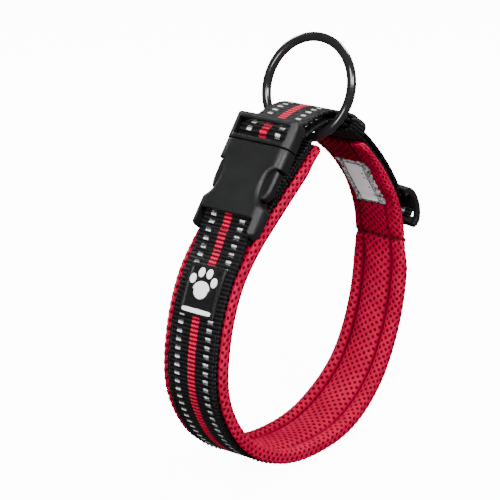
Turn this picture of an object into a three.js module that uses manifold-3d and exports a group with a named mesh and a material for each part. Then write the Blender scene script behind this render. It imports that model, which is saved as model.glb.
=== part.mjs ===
// A padded dog collar: webbing sewn on a mesh pad, a side-release buckle, a leash ring,
// a strap slider and a strap keeper. Millimetres. X runs across the strap, Y from the
// buckle side to the back, Z up. The origin is the middle of the neck opening.
import * as THREE from 'three';
import { mergeVertices } from 'three/addons/utils/BufferGeometryUtils.js';
import { RoundedBoxGeometry } from 'three/addons/geometries/RoundedBoxGeometry.js';
import Module from 'manifold-3d';

const wasm = await Module();
wasm.setup();

// ---- driving dimensions ----
const GAP = 0.3;                 // room left between two pieces that touch
const WEBBING_WIDTH = 25;
const WEBBING_THICK = 1.6;
const PAD_WIDTH = 30;
const PAD_THICK = 3.7;
const MESH_THICK = 0.8;          // one layer of the pad's mesh fabric
const RING_WIRE = 3.9;
const RING_OUTSIDE = 46;
const BUCKLE_WIDTH = 32;
const BUCKLE_THICK = 8.6;
const HOUSING_LENGTH = 31;       // outer face of the socket half, parting line to strap edge
const MALE_LENGTH = 12.5;        // plug half, outside the socket
const KEEPER_LENGTH = 11;
const SLIDER_LENGTH = 20;
const STRAP_STEP = 6;            // length of one straight piece of a curved strap
const WIDTH_STEPS = 3;           // strips across a strap, so that the lean bends it evenly

// The pad's outer face seen from the side (Y, Z), from the end of the back tongue, down
// the back, along the bottom and up the front to the end of the front tongue.
const LOOP_OUTLINE = [
  [27, 61.5], [44, 45.5], [56.7, 25.5], [60.6, 2], [55.8, -26.2], [42, -50.2], [18.6, -64.6],
  [-10, -67.6], [-35.3, -62], [-57.4, -46.8], [-69.5, -24], [-68.5, 0], [-60.6, 21.1],
  [-49.1, 34.7], [-32.2, 47.9], [-5.2, 67.66],
];
const SEAM_AT = 0.1673;          // where the free tongue ends and the sewn strap starts
const BUCKLE_TACK_AT = 0.8684;   // where the strap leaves the pad for the buckle
const DOUBLED_AT = [0.912, 0.99];  // where the front tongue's strap is turned back on itself
const PATCH_AT = [0.772, 0.826];
const LABEL_AT = [0.041, 0.122];
const SLIDER_AT = 0.1295;

// The back of the loop leans: its +X edge lies further in than its -X edge.
const LEAN = 0.2;
const LEAN_FROM = 15;
const LEAN_FULL = 50;

// The buckle's frame: the middle of the parting line on the outer face, local Y towards
// the plug half's end, local Z outward.
const BUCKLE_PLACE = [0, -29.6, 71.6];
const BUCKLE_TILT = THREE.MathUtils.degToRad(51);

const RING_CENTRE = [0, 5.8, 86.8];
const RING_TILT = THREE.MathUtils.degToRad(69);

const BLACK_PLASTIC = [0x141414, 0.45, 0];
const BLACK_METAL = [0x0c0c0d, 0.2, 0.9];
const BLACK_WEBBING = [0x1b1b1d, 0.9, 0];
const RED_MESH = [0xc01020, 0.9, 0];
const FOAM = [0xb01525, 0.95, 0];
const RUBBER = [0x171717, 0.7, 0];
const WHITE = [0xf2f2f2, 0.6, 0];
const GREY_CLOTH = [0x9a9a9c, 0.9, 0];
const THREAD = [0x111113, 0.8, 0];

const collar = new THREE.Group();

function addPiece(parent, name, geometry, [color, roughness, metalness]) {
  const material = new THREE.MeshStandardMaterial({ color, roughness, metalness });
  const mesh = new THREE.Mesh(geometry, material);
  mesh.name = name;
  parent.add(mesh);
  return mesh;
}

// ---- solids ----
function toSolid(geometry) {
  const plain = geometry.clone();
  plain.deleteAttribute('normal');
  plain.deleteAttribute('uv');
  const merged = mergeVertices(plain, 1e-4);
  const vertProperties = new Float32Array(merged.attributes.position.array);
  const triVerts = new Uint32Array(merged.index.array);
  return new wasm.Manifold(new wasm.Mesh({ numProp: 3, vertProperties, triVerts }));
}

function toGeometry(solid) {
  const { vertProperties, triVerts } = solid.getMesh();
  const geometry = new THREE.BufferGeometry();
  geometry.setAttribute('position', new THREE.BufferAttribute(vertProperties, 3));
  geometry.setIndex(new THREE.BufferAttribute(triVerts, 1));
  return geometry;
}

function joinAll(first, others) {
  return others.reduce((solid, other) => solid.add(toSolid(other)), toSolid(first));
}

function cutAll(solid, cutters) {
  return cutters.reduce((left, cutter) => left.subtract(toSolid(cutter)), solid);
}

// A box given by its low and high corner.
function block([x0, y0, z0], [x1, y1, z1]) {
  const box = new THREE.BoxGeometry(x1 - x0, y1 - y0, z1 - z0);
  return box.translate((x0 + x1) / 2, (y0 + y1) / 2, (z0 + z1) / 2);
}

// A round bar along X.
function crossBar(radius, length, y, z, sides = 14) {
  const bar = new THREE.CylinderGeometry(radius, radius, length, sides);
  return bar.rotateZ(Math.PI / 2).translate(0, y, z);
}

// A closed (y, z) outline pushed along X, centred on X = 0.
function acrossStrap(points, width) {
  const shape = new THREE.Shape(points.map(([y, z]) => new THREE.Vector2(y, z)));
  const options = { depth: width, steps: WIDTH_STEPS, bevelEnabled: false };
  const solid = new THREE.ExtrudeGeometry(shape, options);
  solid.translate(0, 0, -width / 2);
  const turn = new THREE.Matrix4().makeBasis(
    new THREE.Vector3(0, 1, 0),
    new THREE.Vector3(0, 0, 1),
    new THREE.Vector3(1, 0, 0),
  );
  return solid.applyMatrix4(turn);
}

// ---- the strap's course ----
function sideCurve(points) {
  const stations = points.map(([y, z]) => new THREE.Vector3(0, y, z));
  return new THREE.CatmullRomCurve3(stations, false, 'centripetal');
}

// The point at height h over a curve, outward being to the left of its direction.
function overCurve(curve, at, height) {
  const point = curve.getPointAt(at);
  const along = curve.getTangentAt(at);
  return [point.y - along.z * height, point.z + along.y * height];
}

// A strap that lies between two heights over a curve, from one station to another.
function strapSolid(curve, [from, to], [low, high], width) {
  const steps = Math.max(2, Math.round(curve.getLength() * (to - from) / STRAP_STEP));
  const stations = Array.from({ length: steps + 1 }, (_, i) => from + (to - from) * i / steps);
  const outer = stations.map((at) => overCurve(curve, at, high));
  const inner = stations.reverse().map((at) => overCurve(curve, at, low));
  return acrossStrap([...inner.reverse(), ...outer.reverse()], width);
}

function leanAmount(y) {
  return LEAN * THREE.MathUtils.smoothstep(y, LEAN_FROM, LEAN_FULL);
}

// Shears the back of a piece so that its +X edge moves in.
function leanBack(geometry) {
  const place = geometry.attributes.position;
  for (let i = 0; i < place.count; i += 1) {
    const y = place.getY(i);
    place.setY(i, y - leanAmount(y) * place.getX(i));
  }
  return geometry;
}

const loop = sideCurve(LOOP_OUTLINE);
const WEB_LOW = GAP;
const WEB_HIGH = GAP + WEBBING_THICK;

// ---- pad ----
function addPad() {
  const whole = [0, 1];
  const layers = [
    ['pad_outer_mesh', [-MESH_THICK, 0], PAD_WIDTH, RED_MESH],
    ['pad_foam', [MESH_THICK + GAP - PAD_THICK, -MESH_THICK - GAP], PAD_WIDTH - 2, FOAM],
    ['pad_inner_mesh', [-PAD_THICK, MESH_THICK - PAD_THICK], PAD_WIDTH, RED_MESH],
  ];
  for (const [name, heights, width, look] of layers) {
    addPiece(collar, name, leanBack(strapSolid(loop, whole, heights, width)), look);
  }
}

// ---- webbing sewn on the pad ----
function addSewnWebbing() {
  const heights = [WEB_LOW, WEB_HIGH];
  const endGap = GAP / loop.getLength();
  const sewn = strapSolid(loop, [SEAM_AT, BUCKLE_TACK_AT], heights, WEBBING_WIDTH);
  addPiece(collar, 'strap_sewn', leanBack(sewn), BLACK_WEBBING);
  const tongue = strapSolid(loop, [BUCKLE_TACK_AT + endGap, 0.995], heights, WEBBING_WIDTH);
  const doubled = [WEB_LOW, WEB_HIGH + WEBBING_THICK];
  const turned = strapSolid(loop, DOUBLED_AT, doubled, WEBBING_WIDTH);
  const whole = toGeometry(joinAll(tongue, [turned]));
  addPiece(collar, 'strap_front_tongue', whole, BLACK_WEBBING);
}

// ---- the folded strap that holds the socket half ----
const FEMALE_BAR = { y: -28.2, z: -5, radius: 1.2 };
const FOLD_ROOM = 0.3;

function buckleToSide(y, z) {
  const c = Math.cos(BUCKLE_TILT);
  const s = Math.sin(BUCKLE_TILT);
  return [BUCKLE_PLACE[1] + y * c - z * s, BUCKLE_PLACE[2] + y * s + z * c];
}

// A strap folded round a bar: one leg starts at each end point, both in (y, z).
function foldedStrap(bar, legA, legB, turn, width) {
  const radius = bar.radius + FOLD_ROOM + WEBBING_THICK / 2;
  const middle = buckleToSide(bar.y, bar.z);
  const arc = [];
  const steps = 6;
  for (let i = 0; i <= steps; i += 1) {
    const angle = turn.from + (turn.to - turn.from) * i / steps;
    arc.push([middle[0] + radius * Math.cos(angle), middle[1] + radius * Math.sin(angle)]);
  }
  const course = [...legA, ...arc, ...legB];
  return ribbon(course, WEBBING_THICK, width);
}

// A ribbon of even thickness along a polyline in (y, z), mitred at its corners.
function ribbon(course, thick, width) {
  const points = course.map(([y, z]) => new THREE.Vector2(y, z));
  const normals = points.map((point, i) => {
    const before = points[Math.max(i - 1, 0)];
    const after = points[Math.min(i + 1, points.length - 1)];
    const into = point.clone().sub(i ? before : after).multiplyScalar(i ? 1 : -1).normalize();
    const last = i === points.length - 1;
    const out = after.clone().sub(last ? before : point).normalize();
    const along = into.add(out).normalize();
    const stretch = 1 / Math.max(0.5, along.dot(out));
    return new THREE.Vector2(-along.y, along.x).multiplyScalar(stretch * thick / 2);
  });
  const left = points.map((point, i) => [point.x + normals[i].x, point.y + normals[i].y]);
  const right = points.map((point, i) => [point.x - normals[i].x, point.y - normals[i].y]);
  return acrossStrap([...right, ...left.reverse()], width);
}

function addSocketFold() {
  const onPad = WEB_HIGH + GAP + WEBBING_THICK / 2;
  const upper = onPad + WEBBING_THICK + GAP;
  const lowLeg = [
    overCurve(loop, BUCKLE_TACK_AT - 0.012, onPad),
    overCurve(loop, BUCKLE_TACK_AT + 0.006, onPad + 0.2),
  ];
  const highLeg = [
    overCurve(loop, BUCKLE_TACK_AT - 0.012, upper),
    overCurve(loop, BUCKLE_TACK_AT + 0.006, upper + 0.2),
  ];
  const turn = { from: BUCKLE_TILT - 1.75, to: BUCKLE_TILT + 1.75 };
  const fold = foldedStrap(FEMALE_BAR, lowLeg, highLeg.reverse(), turn, WEBBING_WIDTH);
  addPiece(collar, 'strap_socket_fold', fold, BLACK_WEBBING);
}

// ---- buckle ----
const CAVITY_HALF = 13.6;        // inside the mouth of the socket half
const POCKET_HALF = 15.4;        // where the prong pads spring out
const SCALLOP_FROM = -8.8;
const SCALLOP_TO = -26;
const SCALLOP_IN = 5;
const HORN_END = -38.6;
const MOUTH_FLOOR = -23;
const PLATE = 1.7;
const STRAP_SLOT = 13.1;

function housingOutline() {
  const half = BUCKLE_WIDTH / 2;
  const outline = new THREE.Shape();
  const middle = (SCALLOP_FROM + SCALLOP_TO) / 2;
  const waist = half - SCALLOP_IN;
  outline.moveTo(-half, 0);
  outline.lineTo(-half, SCALLOP_FROM);
  outline.bezierCurveTo(-waist, SCALLOP_FROM - 2, -waist, middle, -waist, middle);
  outline.bezierCurveTo(-waist, middle - 3, -waist - 1, SCALLOP_TO + 3, -half, SCALLOP_TO);
  outline.lineTo(-half, HORN_END + 2);
  outline.lineTo(-half + 1.2, HORN_END);
  outline.lineTo(half - 1.2, HORN_END);
  outline.lineTo(half, HORN_END + 2);
  outline.lineTo(half, SCALLOP_TO);
  outline.bezierCurveTo(waist + 1, SCALLOP_TO + 3, waist, middle - 3, waist, middle);
  outline.bezierCurveTo(waist, middle, waist, SCALLOP_FROM - 2, half, SCALLOP_FROM);
  outline.lineTo(half, 0);
  return outline;
}

function femaleHousing() {
  const options = { depth: BUCKLE_THICK, bevelEnabled: false, curveSegments: 5 };
  const body = new THREE.ExtrudeGeometry(housingOutline(), options);
  body.translate(0, 0, -BUCKLE_THICK);
  const inside = -BUCKLE_THICK + PLATE;
  const cutters = [
    block([-CAVITY_HALF, SCALLOP_FROM - 1, inside], [CAVITY_HALF, 1, -PLATE]),
    block([-POCKET_HALF, MOUTH_FLOOR, inside], [POCKET_HALF, SCALLOP_FROM, -PLATE]),
    block([-STRAP_SLOT, HORN_END - 1, -BUCKLE_THICK - 1], [STRAP_SLOT, MOUTH_FLOOR - 1.5, -PLATE]),
    block([-STRAP_SLOT, HORN_END - 1, -PLATE - 1], [STRAP_SLOT, -HOUSING_LENGTH, 1]),
    hornRelief(),
  ];
  const cut = cutAll(toSolid(body), cutters);
  const bar = crossBar(FEMALE_BAR.radius, 2 * STRAP_SLOT + 1, FEMALE_BAR.y, FEMALE_BAR.z);
  return toGeometry(cut.add(toSolid(bar)));
}

// The horns thin out towards their ends, where they lie on the pad.
function hornRelief() {
  const wedge = acrossStrap([
    [MOUTH_FLOOR - 4, -BUCKLE_THICK - 4],
    [HORN_END - 3, -BUCKLE_THICK - 4],
    [HORN_END - 3, -5.6],
    [HORN_END + 1.5, -6.8],
    [MOUTH_FLOOR - 8, -BUCKLE_THICK],
  ].reverse(), BUCKLE_WIDTH + 4);
  return wedge;
}

const MALE_BAR = { y: 5.9, z: -5.2, radius: 1.3 };
const WINDOW = [2.2, 10.2];
const RIM_DEPTH = 2.2;
const RIM_RISE = 0.4;

function maleFrame() {
  const half = BUCKLE_WIDTH / 2;
  const low = -BUCKLE_THICK;
  const base = block([-half, GAP, low], [half, WINDOW[0], RIM_RISE]);
  const rails = [-1, 1].map((side) => {
    const inner = side * STRAP_SLOT;
    const outer = side * half;
    const edges = [Math.min(inner, outer), Math.max(inner, outer)];
    return block([edges[0], WINDOW[0] - 1, low], [edges[1], MALE_LENGTH, RIM_RISE]);
  });
  const rim = block([-half + 1, WINDOW[1], -RIM_DEPTH], [half - 1, MALE_LENGTH, RIM_RISE]);
  const bar = crossBar(MALE_BAR.radius, 2 * STRAP_SLOT + 1, MALE_BAR.y, MALE_BAR.z);
  const frame = joinAll(base, [...rails, rim, bar]);
  // the end is rounded over from the outer face
  const round = acrossStrap([
    [MALE_LENGTH - 1.8, RIM_RISE + 1],
    [MALE_LENGTH - 0.5, -1.2],
    [MALE_LENGTH - 0.1, -4.5],
    [MALE_LENGTH + 2, -4.5],
    [MALE_LENGTH + 2, RIM_RISE + 1],
  ].reverse(), BUCKLE_WIDTH + 4);
  const plan = new THREE.ExtrudeGeometry(maleOutline(), { depth: 20, bevelEnabled: false });
  return toGeometry(frame.subtract(toSolid(round)).intersect(toSolid(plan.translate(0, 0, -15))));
}

// The plug half from its outer face: its sides draw in and its end corners are round.
function maleOutline() {
  const half = BUCKLE_WIDTH / 2;
  const end = half - 0.5;
  const corner = 3.2;
  const outline = new THREE.Shape();
  outline.moveTo(-half, 0);
  outline.lineTo(half, 0);
  outline.lineTo(half, 3);
  outline.lineTo(end, MALE_LENGTH - corner);
  outline.quadraticCurveTo(end, MALE_LENGTH, end - corner, MALE_LENGTH);
  outline.lineTo(corner - end, MALE_LENGTH);
  outline.quadraticCurveTo(-end, MALE_LENGTH, -end, MALE_LENGTH - corner);
  outline.lineTo(-half, 3);
  return outline;
}

const GUIDE_HALF = 3.2;
const GUIDE_LENGTH = 20;

function guideTongue() {
  const low = -BUCKLE_THICK + PLATE + 0.6;
  const guide = new RoundedBoxGeometry(
    2 * GUIDE_HALF, GUIDE_LENGTH, -PLATE - 0.6 - low, 1, 0.8,
  );
  return guide.translate(0, -GUIDE_LENGTH / 2, (low - PLATE - 0.6) / 2);
}

// One springy prong: an arm, and a pad with the catch shoulder that sits in the scallop.
function prong() {
  const low = -BUCKLE_THICK + PLATE + 0.5;
  const high = -PLATE - 0.5;
  const outline = new THREE.Shape();
  outline.moveTo(9.6, -0.1);
  outline.lineTo(9.9, -9);
  outline.lineTo(8.6, -18);
  outline.quadraticCurveTo(8.8, -21.6, 11.2, -22.3);
  outline.quadraticCurveTo(14, -21.6, 15, -14);
  outline.lineTo(15, SCALLOP_FROM - 0.6);
  outline.lineTo(13.1, SCALLOP_FROM - 0.2);
  outline.lineTo(12.6, -0.1);
  const options = { depth: high - low, bevelEnabled: false, curveSegments: 5 };
  return new THREE.ExtrudeGeometry(outline, options).translate(0, 0, low);
}

function addBuckle() {
  const buckle = new THREE.Group();
  buckle.position.set(...BUCKLE_PLACE);
  buckle.rotation.x = BUCKLE_TILT;
  collar.add(buckle);
  addPiece(buckle, 'female_housing', femaleHousing(), BLACK_PLASTIC);
  addPiece(buckle, 'male_frame', maleFrame(), BLACK_PLASTIC);
  addPiece(buckle, 'male_guide', guideTongue(), BLACK_PLASTIC);
  addPiece(buckle, 'prong_right', prong(), BLACK_PLASTIC);
  const mirrored = addPiece(buckle, 'prong_left', prong(), BLACK_PLASTIC);
  mirrored.rotation.y = Math.PI;
  mirrored.position.z = -BUCKLE_THICK;
}

// ---- free strap: bar of the plug half, ring, keeper, slider ----
const INNER_COURSE = [[-10.5, 72.6], [-3.6, 74.2], [5.5, 74.8], [13, 71.9], [21, 67.6]];
const OUTER_COURSE = [
  [-12.8, 76.9], [-7, 78.2], [-2, 78.9], [4, 78.7], [9.5, 77.1], [15, 73.9], [21.2, 70],
];
const TONGUE_CLEAR = 0.5;        // between the back tongue and the strap that lies on it

// The free strap's stations over the back tongue, between two places of the loop.
function overTongue(from, to, height, count) {
  return Array.from({ length: count }, (_, i) => {
    return overCurve(loop, from + (to - from) * i / (count - 1), height);
  });
}

function addFreeStrap() {
  const innerHeight = TONGUE_CLEAR + WEBBING_THICK / 2;
  const inner = [...INNER_COURSE, ...overTongue(0.012, SEAM_AT - 0.002, innerHeight, 12)];
  addPiece(collar, 'strap_inner_layer', leanBack(ribbon(inner, WEBBING_THICK, WEBBING_WIDTH)),
    BLACK_WEBBING);
  const outerHeight = innerHeight + WEBBING_THICK + 0.7;
  const outer = [...OUTER_COURSE, ...overTongue(0.014, SLIDER_AT - 0.03, outerHeight, 8)];
  addPiece(collar, 'strap_outer_layer', leanBack(ribbon(outer, WEBBING_THICK, WEBBING_WIDTH)),
    BLACK_WEBBING);
}

function addPlugFold() {
  const turn = { from: BUCKLE_TILT + 4.9, to: BUCKLE_TILT + 1.45 };
  const legIn = [[-11.2, 72.5], [-14.5, 71.6]];
  const legOut = [[-18.2, 76.5], [-13.4, 76.9]];
  const fold = foldedStrap(MALE_BAR, legIn, legOut, turn, WEBBING_WIDTH);
  addPiece(collar, 'strap_plug_fold', fold, BLACK_WEBBING);
}

// ---- leash ring ----
function addRing() {
  const radius = (RING_OUTSIDE - RING_WIRE) / 2;
  const ring = new THREE.TorusGeometry(radius, RING_WIRE / 2, 12, 48);
  const mesh = addPiece(collar, 'leash_ring', ring, BLACK_METAL);
  mesh.position.set(...RING_CENTRE);
  mesh.rotation.x = RING_TILT;
}

// ---- slider ----
const SLIDER_RAIL = 2.6;
const SLIDER_RISE = 6.4;
const SLIDER_PLATE = 2.4;
const SLIDER_BASE = 3.4;         // the rails' foot over the pad's outer face

// The side rail's arch, in the slider's own (y, z).
function archPoints(extra) {
  const half = SLIDER_LENGTH / 2 + extra;
  const rise = SLIDER_RISE + extra;
  return Array.from({ length: 13 }, (_, i) => {
    const angle = Math.PI * i / 12;
    return [-half * Math.cos(angle), SLIDER_BASE + rise * Math.sin(angle) ** 0.75];
  });
}

function sliderFrame() {
  const width = WEBBING_WIDTH + 1.4 + 2 * SLIDER_RAIL;
  const arch = acrossStrap([...archPoints(-SLIDER_PLATE), ...archPoints(0).reverse()].reverse(), width);
  const low = SLIDER_BASE - 1;
  const high = SLIDER_BASE + SLIDER_RISE + 1;
  const half = WEBBING_WIDTH / 2 + 0.7;
  const slots = [-1, 1].map((side) => {
    const near = side * 2.2;
    const far = side * (SLIDER_LENGTH / 2 - 2.4);
    return block([-half, Math.min(near, far), low], [half, Math.max(near, far), high]);
  });
  return toGeometry(cutAll(toSolid(arch), slots));
}

function addSlider() {
  const point = loop.getPointAt(SLIDER_AT);
  const along = loop.getTangentAt(SLIDER_AT);
  const slider = new THREE.Group();
  slider.position.set(0, point.y, point.z);
  slider.rotation.order = 'ZYX';
  slider.rotation.z = -Math.atan(leanAmount(point.y));
  slider.rotation.x = Math.atan2(along.z, along.y);
  collar.add(slider);
  addPiece(slider, 'slider_frame', sliderFrame(), BLACK_PLASTIC);
  const barHeight = SLIDER_BASE + SLIDER_RISE - SLIDER_PLATE / 2;
  const fold = ribbon([
    [-6.4, 4.9], [-4.8, 5.6], [-3.2, 6.7], [-3.6, barHeight + 0.6], [-2.2, barHeight + 2.5],
    [0, barHeight + 3], [2.6, barHeight + 2.4], [3.6, barHeight + 0.4], [3.2, 6.9], [1.8, 5.4],
  ], WEBBING_THICK, WEBBING_WIDTH);
  addPiece(slider, 'strap_slider_fold', fold, BLACK_WEBBING);
}

// ---- keeper ----
const KEEPER_PLACE = [0, 21.4, 68.5];
const KEEPER_TILT = THREE.MathUtils.degToRad(-34.5);
const KEEPER_WALL = 1.2;

function addKeeper() {
  const halfIn = WEBBING_WIDTH / 2 + 0.6;
  const high = 2.7;
  const low = -2.8;
  const long = KEEPER_LENGTH / 2;
  const halfOut = halfIn + KEEPER_WALL;
  const outside = block(
    [-halfOut, -long, low - KEEPER_WALL], [halfOut, long, high + KEEPER_WALL],
  );
  const inside = block([-halfIn, -long - 1, low], [halfIn, long + 1, high]);
  const keeper = toGeometry(cutAll(toSolid(outside), [inside]));
  const mesh = addPiece(collar, 'strap_keeper', keeper, BLACK_PLASTIC);
  mesh.position.set(...KEEPER_PLACE);
  mesh.rotation.x = KEEPER_TILT;
}

// ---- patch, label and seams ----
const PATCH_WIDTH = 18;
const PATCH_THICK = 1.2;
const LABEL_X = -1.2;

function stationFrame(at, height) {
  const [y, z] = overCurve(loop, at, height);
  const along = loop.getTangentAt(at);
  const frame = new THREE.Group();
  frame.position.set(0, y, z);
  frame.rotation.x = Math.atan2(along.z, along.y);
  collar.add(frame);
  return frame;
}

function addPatch() {
  const low = WEB_HIGH + GAP;
  const high = low + PATCH_THICK;
  const patch = strapSolid(loop, PATCH_AT, [low, high], PATCH_WIDTH);
  addPiece(collar, 'patch_base', patch, RUBBER);
  const middle = (PATCH_AT[0] + PATCH_AT[1]) / 2;
  const face = stationFrame(middle, high + GAP);
  const disc = (rx, ry, x, y) => {
    const plate = new THREE.CylinderGeometry(1, 1, 0.4, 12).rotateX(Math.PI / 2);
    return plate.scale(rx, ry, 1).translate(x, y, 0.45);
  };
  addPiece(face, 'patch_paw_pad', disc(4, 3.2, 0, 0.4), WHITE);
  const toes = [[-5.3, 3.9], [-2, 6.8], [2, 6.8], [5.3, 3.9]];
  toes.forEach(([x, y], i) => {
    addPiece(face, `patch_paw_toe_${i + 1}`, disc(1.45, 1.9, x, y), WHITE);
  });
  const bar = new RoundedBoxGeometry(14.4, 1.8, 0.5, 2, 0.2).translate(0, -8, 0.5);
  addPiece(face, 'patch_bar', bar, WHITE);
}

function addLabel() {
  const low = -PAD_THICK - GAP;
  const base = strapSolid(loop, LABEL_AT, [low - 0.5, low], 18.5);
  addPiece(collar, 'label_base', leanBack(base.translate(LABEL_X, 0, 0)), GREY_CLOTH);
  const inset = 0.012;
  const panelAt = [LABEL_AT[0] + inset, LABEL_AT[1] - inset];
  const panel = strapSolid(loop, panelAt, [low - 1.1, low - 0.5 - GAP], 11);
  addPiece(collar, 'label_panel', leanBack(panel.translate(LABEL_X, 0, 0)), WHITE);
}

function addSeams() {
  const high = WEB_HIGH + GAP;
  const seam = strapSolid(loop, [SEAM_AT - 0.001, SEAM_AT + 0.006], [high + 0.1, high + 0.6], 24);
  addPiece(collar, 'seam_back', leanBack(seam), THREAD);
  const top = WEB_HIGH + 2 * (WEBBING_THICK + GAP) + GAP;
  const tackAt = [BUCKLE_TACK_AT - 0.01, BUCKLE_TACK_AT - 0.002];
  const tack = strapSolid(loop, tackAt, [top + 0.1, top + 0.6], 20);
  addPiece(collar, 'seam_buckle', tack, THREAD);
  for (const [name, side] of [['seam_far', -1], ['seam_near', 1]]) {
    const line = strapSolid(loop, [SEAM_AT + 0.012, PATCH_AT[0] - 0.01],
      [high, high + 0.4], 0.8);
    const shift = side * (WEBBING_WIDTH / 2 - 1.5);
    addPiece(collar, name, leanBack(line.translate(shift, 0, 0)), THREAD);
  }
}

addPad();
addSewnWebbing();
addSocketFold();
addBuckle();
addFreeStrap();
addPlugFold();
addRing();
addSlider();
addKeeper();
addPatch();
addLabel();
addSeams();

export default collar;
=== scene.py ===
"""A padded dog collar: webbing on a red mesh pad, with a side-release buckle, a leash
ring, a slider and a keeper. Shapes are worked out in millimetres and stored in metres."""
import math

import bmesh
import bpy
import numpy as np
from mathutils import Matrix, Vector


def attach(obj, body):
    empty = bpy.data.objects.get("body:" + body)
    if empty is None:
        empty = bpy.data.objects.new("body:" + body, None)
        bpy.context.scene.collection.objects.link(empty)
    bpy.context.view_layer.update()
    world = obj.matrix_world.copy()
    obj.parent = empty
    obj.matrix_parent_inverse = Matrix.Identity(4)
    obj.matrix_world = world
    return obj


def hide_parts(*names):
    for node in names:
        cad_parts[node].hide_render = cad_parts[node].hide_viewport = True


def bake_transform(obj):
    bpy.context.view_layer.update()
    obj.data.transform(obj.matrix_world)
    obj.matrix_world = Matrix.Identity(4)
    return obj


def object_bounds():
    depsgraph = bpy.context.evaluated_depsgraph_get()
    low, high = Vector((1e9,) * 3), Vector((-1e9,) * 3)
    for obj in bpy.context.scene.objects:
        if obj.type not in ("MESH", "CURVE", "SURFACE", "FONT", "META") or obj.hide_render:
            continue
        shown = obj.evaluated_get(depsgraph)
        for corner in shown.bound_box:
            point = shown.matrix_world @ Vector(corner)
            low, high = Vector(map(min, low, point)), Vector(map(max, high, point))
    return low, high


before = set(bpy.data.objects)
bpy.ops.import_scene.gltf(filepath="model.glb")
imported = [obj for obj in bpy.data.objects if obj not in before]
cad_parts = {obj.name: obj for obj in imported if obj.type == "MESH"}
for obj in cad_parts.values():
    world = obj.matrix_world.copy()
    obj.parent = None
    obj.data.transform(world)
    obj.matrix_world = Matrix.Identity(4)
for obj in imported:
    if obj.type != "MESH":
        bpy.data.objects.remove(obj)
cad_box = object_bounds()
scene = bpy.context.scene
MM = 0.001

# ---- sizes shared with the CAD part, in millimetres ----
LOOP = [
    (27, 61.5), (44, 45.5), (56.7, 25.5), (60.6, 2), (55.8, -26.2), (42, -50.2), (18.6, -64.6),
    (-10, -67.6), (-35.3, -62), (-57.4, -46.8), (-69.5, -24), (-68.5, 0), (-60.6, 21.1),
    (-49.1, 34.7), (-32.2, 47.9), (-5.2, 67.66),
]
SEAM_AT, TACK_AT = 0.1673, 0.8684
PATCH_AT, LABEL_AT, SLIDER_AT = (0.772, 0.826), (0.041, 0.122), 0.1295
LABEL_X, LABEL_SLANT = -1.2, -0.17      # the label sits off the middle and askew
LEAN, LEAN_FROM, LEAN_FULL = 0.2, 15.0, 50.0
PAD_HALF, PAD_THICK = 15.0, 3.7
WEB_HALF, WEB_THICK, WEB_MID, WEB_STEP = 12.5, 1.6, 1.1, 0.35
RIB, YARN = 1.75, 0.78          # pitch of the webbing's cross ribs and of its yarns
STRIPE_HALF, DASH_ACROSS, DASH_HALF = 1.75, 7.3, 1.15
HOLE_ACROSS, HOLE_ALONG = 3.9, 1.72     # pitch of the mesh's holes
BUCKLE_PLACE, BUCKLE_TILT = (0.0, -29.6, 71.6), math.radians(51)
BUCKLE_THICK = 8.6
RING_CENTRE, RING_TILT, RING_RADIUS, RING_WIRE = (0.0, 5.8, 86.8), math.radians(69), 21.05, 1.95
KEEPER_PLACE, KEEPER_TILT = (0.0, 21.4, 68.5), math.radians(-34.5)

# ---- camera, light and floor ----
AZIMUTH, ELEVATION = math.radians(37), math.radians(20)
DISTANCE = 0.9
PIXELS = 500
FOCAL_PIXELS = 2133.0
SHIFT_X, SHIFT_Y = -0.1, 0.08


def add_camera():
    look = Vector((-math.sin(AZIMUTH) * math.cos(ELEVATION),
                   math.cos(AZIMUTH) * math.cos(ELEVATION), -math.sin(ELEVATION)))
    right = Vector((math.cos(AZIMUTH), math.sin(AZIMUTH), 0))
    turn = Matrix((right, right.cross(look), -look)).transposed().to_4x4()
    turn.translation = -look * DISTANCE
    data = bpy.data.cameras.new("camera")
    data.sensor_width = 36
    data.lens = FOCAL_PIXELS * data.sensor_width / PIXELS
    data.shift_x, data.shift_y = SHIFT_X, SHIFT_Y
    camera = bpy.data.objects.new("camera", data)
    camera.matrix_world = turn
    scene.collection.objects.link(camera)
    scene.camera = camera


def add_area(name, place, size, power, aim=(0, 0, 0)):
    data = bpy.data.lights.new(name, "AREA")
    data.shape, data.size, data.energy = "DISK", size, power
    lamp = bpy.data.objects.new(name, data)
    lamp.location = place
    lamp.rotation_euler = (Vector(aim) - Vector(place)).to_track_quat("-Z", "Y").to_euler()
    scene.collection.objects.link(lamp)


def add_studio():
    world = bpy.data.worlds.new("studio")
    world.use_nodes = True
    world.node_tree.nodes["Background"].inputs["Color"].default_value = (1, 1, 1, 1)
    world.node_tree.nodes["Background"].inputs["Strength"].default_value = 0.14
    scene.world = world
    add_area("key", (0.35, -0.75, 0.8), 0.35, 11)
    add_area("side", (0.8, -0.2, 0.6), 0.25, 10)
    add_area("left", (-0.75, 0.2, 0.5), 0.25, 5)
    add_area("rim", (0.05, 0.75, 0.7), 0.3, 11, (0, 0, 0.05))
    add_area("front", (0.1, -0.95, 0.15), 0.3, 4.5)


def add_floor():
    """A plain white floor with four walls, far from the object."""
    reach = 6.0
    low = cad_box[0][2] - 0.001
    corners = [(-reach, -reach), (reach, -reach), (reach, reach), (-reach, reach)]
    walls = [(k, (k + 1) % 4, (k + 1) % 4 + 4, k + 4) for k in range(4)]
    mesh = bpy.data.meshes.new("floor")
    mesh.from_pydata([(x, y, z) for z in (low, 2 * reach) for x, y in corners], [],
                     [(0, 1, 2, 3)] + walls)
    look = Shader("floor_white")
    look.set(base=(0.92, 0.92, 0.92), rough=0.9)
    look.glow((1, 1, 1), 12.0)
    floor = link("floor", mesh, look.material, smooth=False)
    floor.visible_diffuse = False
    floor.visible_glossy = False


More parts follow.
